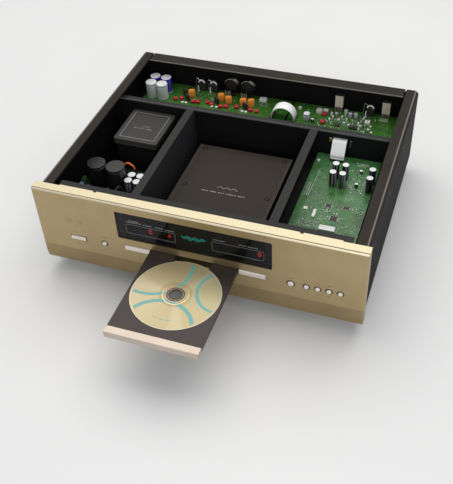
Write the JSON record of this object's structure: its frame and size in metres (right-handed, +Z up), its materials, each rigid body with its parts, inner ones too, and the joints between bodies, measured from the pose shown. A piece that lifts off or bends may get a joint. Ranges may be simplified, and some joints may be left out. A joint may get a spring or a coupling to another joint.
{
  "type": "sacd player",
  "caption": "Full-width disc player with its top cover off: thick gold panel, loading tray drawn out with a disc, boards, transformer and disc transport inside.",
  "frame": {"origin": "centre of the underside of the overall box, with the tray out, on the table", "axes": "+X to the right seen from the front, +Y from the front panel to the rear panel, +Z up"},
  "size_m": [0.465, 0.5436, 0.151],
  "materials": {
    "gold_panel": "champagne anodised, satin",
    "button_metal": "pale anodised, polished",
    "tray_plastic": "dark brown satin",
    "dark_glass": "dark tinted",
    "display_module": "black",
    "frame_paint": "dark grey-brown satin",
    "divider_paint": "dark blue-grey satin",
    "cover_paint": "dark bronze satin",
    "zinc_steel": "zinc plated",
    "steel_shaft": "ground",
    "foot_metal": "black satin",
    "soft_pad": "black",
    "transformer_black": "black satin",
    "lid_grey": "dark grey satin",
    "board_green": "green solder resist",
    "capacitor_sleeve": "black sleeve with a metal top",
    "film_orange": "orange dipped",
    "mixed_parts": "black bodies with plated leads",
    "cable_white": "white ribbon",
    "black_plastic": "black moulded",
    "gold_contact": "gold plated",
    "disc_gold": "gold reflective, iridescent",
    "gear_white": "natural white",
    "belt_rubber": "black",
    "cream_plastic": "cream",
    "motor_can": "plated"
  },
  "bodies": {
    "player": {"front_panel": "gold_panel", "display_window": "dark_glass", "display_board": "display_module", "switch_boards": "board_green", "right_side_panel": "frame_paint", "left_side_panel": "frame_paint", "rear_panel": "frame_paint", "base_plate": "frame_paint", "front_rail": "frame_paint", "partition": "divider_paint", "long_dividers": "divider_paint", "feet": "foot_metal", "foot_pads": "soft_pad", "transformer_case": "transformer_black", "transformer_lid": "lid_grey", "power_board": "board_green", "power_capacitors": "capacitor_sleeve", "power_parts": "mixed_parts", "board_decks": "divider_paint", "board_standoffs": "zinc_steel", "main_board": "board_green", "rear_boards": "board_green", "board_capacitors": "capacitor_sleeve", "signal_capacitors": "film_orange", "board_parts": "mixed_parts", "board_cables": "cable_white", "transport_base": "black_plastic", "transport_cover": "cover_paint", "cover_screws": "steel_shaft", "tray_guides": "black_plastic", "clamp_bridge": "zinc_steel", "loader_motor": "motor_can", "loader_belt": "belt_rubber", "rca_sockets": "gold_contact", "xlr_sockets": "motor_can", "digital_sockets": "cream_plastic", "mains_inlet": "black_plastic"},
    "tray": {"tray": "tray_plastic", "tray_lip": "button_metal", "tray_rack": "tray_plastic"},
    "disc": {"disc": "disc_gold"},
    "drive_gear": {"drive_gear": "gear_white"},
    "motor_wheel": {"motor_wheel": "gear_white"},
    "traverse": {"traverse_frame": "zinc_steel", "traverse_motors": "motor_can", "pickup_shafts": "steel_shaft"},
    "turntable": {"turntable": "black_plastic"},
    "pickup": {"pickup": "black_plastic"},
    "sled_gear": {"sled_gear": "gear_white"},
    "clamp_puck": {"clamp_puck": "black_plastic"},
    "lift_cam": {"lift_cam": "gear_white"},
    "power_button": {"power_button": "button_metal"},
    "left_bar_button": {"left_bar_button": "button_metal"},
    "right_bar_button": {"right_bar_button": "button_metal"},
    "side_button": {"side_button": "button_metal"},
    "large_button": {"large_button": "button_metal"},
    "round_button_1": {"round_button_1": "button_metal"},
    "round_button_2": {"round_button_2": "button_metal"},
    "round_button_3": {"round_button_3": "button_metal"},
    "round_button_4": {"round_button_4": "button_metal"}
  },
  "joints": [
    {"name": "tray_slide", "type": "slide", "parent": "player", "child": "tray", "axis": [0, -1, 0], "range_m": [-0.151, 0]},
    {"name": "disc_lift", "type": "slide", "parent": "tray", "child": "disc", "axis": [0, 0, 1], "range_m": [0, 0.06]},
    {"name": "drive_gear_spin", "type": "hinge", "parent": "player", "child": "drive_gear", "pos_m": [0.037, -0.07025, 0.068], "axis": [0, 0, 1], "range_deg": [0, 866]},
    {"name": "motor_wheel_spin", "type": "hinge", "parent": "player", "child": "motor_wheel", "pos_m": [0, -0.07675, 0.0665], "axis": [0, 0, 1], "range_deg": [0, 2770]},
    {"name": "traverse_lift", "type": "slide", "parent": "player", "child": "traverse", "axis": [0, 0, 1], "range_m": [0, 0.0098]},
    {"name": "turntable_spin", "type": "hinge", "parent": "traverse", "child": "turntable", "pos_m": [0, -0.03525, 0.069], "axis": [0, 0, 1], "continuous": true},
    {"name": "pickup_slide", "type": "slide", "parent": "traverse", "child": "pickup", "axis": [0, 1, 0], "range_m": [0, 0.034]},
    {"name": "sled_gear_spin", "type": "hinge", "parent": "traverse", "child": "sled_gear", "pos_m": [-0.037, -0.00125, 0.0595], "axis": [0, 0, 1], "range_deg": [0, 325]},
    {"name": "clamp_puck_spin", "type": "hinge", "parent": "player", "child": "clamp_puck", "pos_m": [0, -0.03525, 0.086], "axis": [0, 0, 1], "continuous": true},
    {"name": "lift_cam_slide", "type": "slide", "parent": "player", "child": "lift_cam", "axis": [1, 0, 0], "range_m": [0, 0.014]},
    {"name": "power_button_press", "type": "slide", "parent": "player", "child": "power_button", "axis": [0, 1, 0], "range_m": [0, 0.0012], "stiffness_N_per_m": 300, "springref_m": -0.0012},
    {"name": "left_bar_button_press", "type": "slide", "parent": "player", "child": "left_bar_button", "axis": [0, 1, 0], "range_m": [0, 0.0012], "stiffness_N_per_m": 300, "springref_m": -0.0012},
    {"name": "right_bar_button_press", "type": "slide", "parent": "player", "child": "right_bar_button", "axis": [0, 1, 0], "range_m": [0, 0.0012], "stiffness_N_per_m": 300, "springref_m": -0.0012},
    {"name": "side_button_press", "type": "slide", "parent": "player", "child": "side_button", "axis": [0, 1, 0], "range_m": [0, 0.0012], "stiffness_N_per_m": 300, "springref_m": -0.0012},
    {"name": "large_button_press", "type": "slide", "parent": "player", "child": "large_button", "axis": [0, 1, 0], "range_m": [0, 0.0012], "stiffness_N_per_m": 300, "springref_m": -0.0012},
    {"name": "round_button_1_press", "type": "slide", "parent": "player", "child": "round_button_1", "axis": [0, 1, 0], "range_m": [0, 0.0012], "stiffness_N_per_m": 300, "springref_m": -0.0012},
    {"name": "round_button_2_press", "type": "slide", "parent": "player", "child": "round_button_2", "axis": [0, 1, 0], "range_m": [0, 0.0012], "stiffness_N_per_m": 300, "springref_m": -0.0012},
    {"name": "round_button_3_press", "type": "slide", "parent": "player", "child": "round_button_3", "axis": [0, 1, 0], "range_m": [0, 0.0012], "stiffness_N_per_m": 300, "springref_m": -0.0012},
    {"name": "round_button_4_press", "type": "slide", "parent": "player", "child": "round_button_4", "axis": [0, 1, 0], "range_m": [0, 0.0012], "stiffness_N_per_m": 300, "springref_m": -0.0012}
  ],
  "couplings": [
    {"joint": "drive_gear_spin", "follows": "tray_slide", "rad_per_m": -100},
    {"joint": "motor_wheel_spin", "follows": "tray_slide", "rad_per_m": -317.39},
    {"joint": "sled_gear_spin", "follows": "pickup_slide", "rad_per_m": 166.67},
    {"joint": "lift_cam_slide", "follows": "traverse_lift", "ratio": 1.4286}
  ]
}
